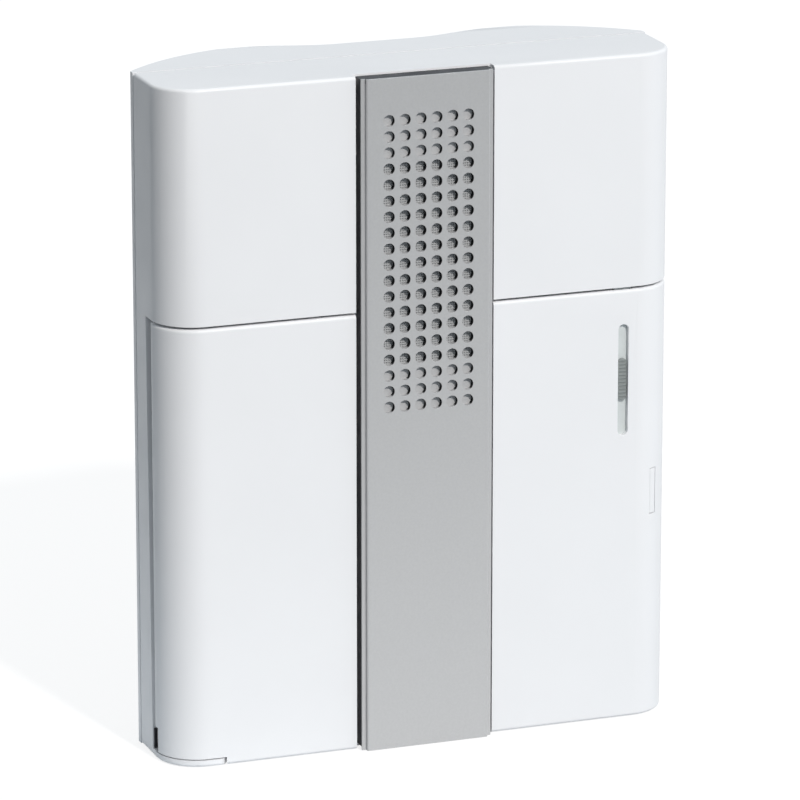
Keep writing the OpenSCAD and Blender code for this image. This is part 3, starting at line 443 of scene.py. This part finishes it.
def can_top(name, x, y, z, r):
    """Metal top of a capacitor, parted into quarters by a vent cross."""
    gap, lift, sunk, steps = 0.16 * MM, 0.14 * MM, 0.02 * MM, 9
    trim = math.asin(gap / r)
    verts, faces = [], []
    for quarter in range(4):
        start = len(verts)
        turn, corner = math.radians(90 * quarter), math.radians(90 * quarter + 45)
        reach = gap * math.sqrt(2)
        outline = [(x + reach * math.cos(corner), z + reach * math.sin(corner))]
        for i in range(steps):
            a = turn + trim + (math.pi / 2 - 2 * trim) * i / (steps - 1)
            outline.append((x + r * math.cos(a), z + r * math.sin(a)))
        for depth in (sunk, -lift):
            verts.extend((px, y + depth, pz) for px, pz in outline)
        close(faces, start, len(outline))
    piece(name, mesh_of(name, verts, faces), "case", "steel")


def can_stripe(name, x, z, radii, heights):
    """Printed stripe down one side of a capacitor."""
    first, sweep, steps = 150, 60, 8
    verts, faces = [], []
    for i in range(steps + 1):
        a = math.radians(first + sweep * i / steps)
        for r in radii:
            for y in heights:
                verts.append((x + r * math.cos(a), y, z + r * math.sin(a)))
    for i in range(steps):
        a, b = 4 * i, 4 * (i + 1)
        faces += [(a + 2, b + 2, b + 3, a + 3), (a, a + 1, b + 1, b), (a, b, b + 2, a + 2),
                  (a + 1, a + 3, b + 3, b + 1)]
    faces += [(0, 2, 3, 1), (4 * steps, 4 * steps + 1, 4 * steps + 3, 4 * steps + 2)]
    piece(name, mesh_of(name, verts, faces), "case", "shutter_grey")


def can_dressing(index, dx, dz, radius, height):
    """Top and stripe of one capacitor, from its place on the board and its size in millimetres."""
    x, z, y = board_x + dx * MM, board_z + dz * MM, board_y - height * MM
    can_top("capacitor_top_%d" % index, x, y, z, (radius - 0.55) * MM)
    can_stripe("capacitor_stripe_%d" % index, x, z, ((radius - 0.05) * MM, (radius + 0.04) * MM),
               (y + 0.5 * MM, board_y - 2.4 * MM))


def solder(name, places, radius):
    """Low cones of solder round the wires that end on the board."""
    verts, faces = [], []
    sides = 20
    profile = [(1.0, 0.02), (0.92, -0.12), (0.62, -0.42), (0.4, -0.8), (0.3, -1.0)]
    for x, z in places:
        start = len(verts)
        for r, y in profile:
            for k in range(sides):
                a = 2 * math.pi * k / sides
                verts.append((x + radius * r * math.cos(a), board_y + radius * y,
                              z + radius * r * math.sin(a)))
        for i in range(len(profile) - 1):
            for k in range(sides):
                a, b = start + i * sides + k, start + i * sides + (k + 1) % sides
                faces.append((a, b, b + sides, a + sides))
        faces.append(tuple(start + k for k in range(sides)))
        last = start + (len(profile) - 1) * sides
        faces.append(tuple(last + k for k in range(sides)))
    piece(name, mesh_of(name, verts, faces), "case", "steel", 60)


def hinge_gap_shade():
    """Dark pad on the frame's edge, beside the lower end of the hinge, that paints shade into the gap there.
    """
    low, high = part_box("hinge_bush")
    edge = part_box("front_cover")[0].x
    x0, x1 = edge + 0.4 * MM, edge + 2.2 * MM
    y1 = (low.y + high.y) / 2 + 3.2 * MM
    y0 = y1 - 0.6 * MM
    outline = [(x0, y1), (x1, y1), (x1, y0), (x0, y0)]
    verts, faces = [], []
    prism(verts, faces, outline, low.z + 0.1 * MM, high.z - 1.2 * MM)
    piece("hinge_gap_shade", mesh_of("hinge_gap_shade", verts, faces), body_of["hinge_bush"], "dark_plastic")


def slot_wiper():
    """Pale ring behind the volume slot that wipes the shutter."""
    low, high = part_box("knob_shutter")
    x, z = (low.x + high.x) / 2, (low.z + high.z) / 2
    half_straight, steps = 15.15 * MM, 12
    radii, depths = (1.6 * MM, 2.3 * MM), (low.y - 0.42 * MM, low.y - 0.08 * MM)
    verts, faces = [], []
    for r in radii:
        for y in depths:
            for end, shift in ((0, half_straight), (1, -half_straight)):
                for i in range(steps + 1):
                    a = math.pi * (end + i / steps)
                    verts.append((x + r * math.cos(a), y, z + r * math.sin(a) + shift))
    n = 2 * (steps + 1)
    for a, b in ((0, 1), (1, 3), (3, 2), (2, 0)):
        for i in range(n):
            k = (i + 1) % n
            faces.append((a * n + i, a * n + k, b * n + k, b * n + i))
    piece("slot_wiper", mesh_of("slot_wiper", verts, faces), body_of["service_door"], "case_white")


CANS = ((-1.5, 4, 3.2, 8.5), (-1.5, -4, 3.2, 8.5), (-8.5, 28, 2.5, 6))
WIRE_HEIGHTS = (14, 10, 4, 0)

# Painted shade: a dark pad in the hinge gap.
hinge_gap_shade()
slot_wiper()
chip_legs("melody_chip", 8)
chip_legs("amplifier_chip", 4)
for index, can in enumerate(CANS):
    can_dressing(index, *can)
wire_x = board_low.x + 2.5 * MM
solder("wire_solder", [(wire_x, board_z + z * MM) for z in WIRE_HEIGHTS], 1.3 * MM)


# Stage, light and camera

def floor():
    """A pale floor with a painted pool of light: the colour that other rays see is brighter near the part and
    darker to the left; the camera and mirrors see it glow to white.
    """
    mesh = bpy.data.meshes.new("floor")
    r, z = 12.0, cad_box[0].z - 0.2 * MM
    mesh.from_pydata([(-r, -r, z), (r, -r, z), (r, r, z), (-r, r, z)], [], [(0, 1, 2, 3)])
    obj = bpy.data.objects.new("floor", mesh)
    scene.collection.objects.link(obj)
    mat = bpy.data.materials.new("floor")
    mat.use_nodes = True
    tree = mat.node_tree
    tree.nodes.clear()

    def new(kind, **settings):
        node = tree.nodes.new(kind)
        for key, value in settings.items():
            setattr(node, key, value)
        return node

    coords = new("ShaderNodeTexCoord").outputs["Object"]

    def fade(value, near, far, inside, outside):
        fall = new("ShaderNodeMapRange", interpolation_type="SMOOTHSTEP")
        tree.links.new(value, fall.inputs["Value"])
        set_range(fall, near, far, inside, outside)
        return fall.outputs["Result"]

    reach = new("ShaderNodeVectorMath", operation="DISTANCE")
    tree.links.new(coords, reach.inputs[0])
    reach.inputs[1].default_value = (-0.16, 0.06, z)
    split = new("ShaderNodeSeparateXYZ")
    tree.links.new(coords, split.inputs[0])
    front = new("ShaderNodeMath", operation="MULTIPLY")
    tree.links.new(split.outputs["Y"], front.inputs[0])
    front.inputs[1].default_value = -1
    paint = new("ShaderNodeBsdfDiffuse")
    paint.inputs["Color"].default_value = (0.25, 0.25, 0.25, 1)
    glow = new("ShaderNodeEmission")
    tree.links.new(fade(front.outputs[0], 0.12, 0.7, 0.82, 0.2), glow.inputs["Strength"])
    shown = new("ShaderNodeAddShader")
    tree.links.new(paint.outputs[0], shown.inputs[0])
    tree.links.new(glow.outputs[0], shown.inputs[1])
    unseen = new("ShaderNodeBsdfDiffuse")
    # Painted light and shade: the bounce colour is painted into a pool round the part and darkened towards
    # the left, which shades the part's left side.
    painted_bounce = new("ShaderNodeMath", operation="ADD")
    tree.links.new(fade(reach.outputs["Value"], 0.02, 0.21, 0.6, 0.0), painted_bounce.inputs[0])
    tree.links.new(fade(split.outputs["X"], -0.26, -0.05, 0.1, 0.5), painted_bounce.inputs[1])
    tint = new("ShaderNodeVectorMath", operation="MULTIPLY")
    tree.links.new(painted_bounce.outputs[0], tint.inputs[0])
    tint.inputs[1].default_value = (0.9, 0.965, 1.02)
    tree.links.new(tint.outputs[0], unseen.inputs["Color"])
    path = new("ShaderNodeLightPath")
    seen = path.outputs["Is Camera Ray"]
    for ray in ("Is Glossy Ray", "Is Transmission Ray"):
        either = new("ShaderNodeMath", operation="MAXIMUM")
        tree.links.new(seen, either.inputs[0])
        tree.links.new(path.outputs[ray], either.inputs[1])
        seen = either.outputs[0]
    switch = new("ShaderNodeMixShader")
    tree.links.new(seen, switch.inputs[0])
    tree.links.new(unseen.outputs[0], switch.inputs[1])
    tree.links.new(shown.outputs[0], switch.inputs[2])
    tree.links.new(switch.outputs[0], new("ShaderNodeOutputMaterial").inputs["Surface"])
    mesh.materials.append(mat)


def world():
    """Soft light from all round, less from the left."""
    studio = bpy.data.worlds.new("studio")
    studio.use_nodes = True
    tree = studio.node_tree
    back = tree.nodes["Background"]
    back.inputs["Color"].default_value = (0.86, 0.94, 1, 1)
    split = tree.nodes.new("ShaderNodeSeparateXYZ")
    tree.links.new(tree.nodes.new("ShaderNodeTexCoord").outputs["Generated"], split.inputs[0])
    dome = tree.nodes.new("ShaderNodeMapRange")
    dome.interpolation_type = "SMOOTHSTEP"
    set_range(dome, -0.95, -0.35, 0.0, 0.68)
    tree.links.new(split.outputs["X"], dome.inputs["Value"])
    tree.links.new(dome.outputs["Result"], back.inputs["Strength"])
    scene.world = studio


def sun(name, towards, strength, angle, colour):
    light = bpy.data.lights.new(name, "SUN")
    light.energy = strength
    light.angle = math.radians(angle)
    light.color = colour
    obj = bpy.data.objects.new(name, light)
    obj.rotation_mode = "QUATERNION"
    obj.rotation_quaternion = Vector(towards).to_track_quat("Z", "Y")
    scene.collection.objects.link(obj)


def camera():
    """The camera that was fitted to the object's edges."""
    azimuth, elevation = math.radians(-20.2), math.radians(15.9)
    distance, focal_px, width_px, sensor_mm = 1.668, 5815, 800, 36
    back = Vector((math.sin(azimuth) * math.cos(elevation), -math.cos(azimuth) * math.cos(elevation),
                   math.sin(elevation)))
    right = Vector((math.cos(azimuth), math.sin(azimuth), 0))
    up = back.cross(right)
    aim = Vector((0, cad_box[0].y, -0.0005)) + right * -0.00817 + up * 0.00453
    data = bpy.data.cameras.new("camera")
    data.lens = sensor_mm * focal_px / width_px
    obj = bpy.data.objects.new("camera", data)
    turn = Matrix((right, up, back)).transposed().to_4x4()
    obj.matrix_world = Matrix.Translation(aim + back * distance) @ turn
    scene.collection.objects.link(obj)
    scene.camera = obj


floor()
world()
sun("key", (0.14, -0.76, 0.58), 2.06, 4, (1, 0.965, 0.93))
camera()
scene.view_settings.view_transform = "Standard"
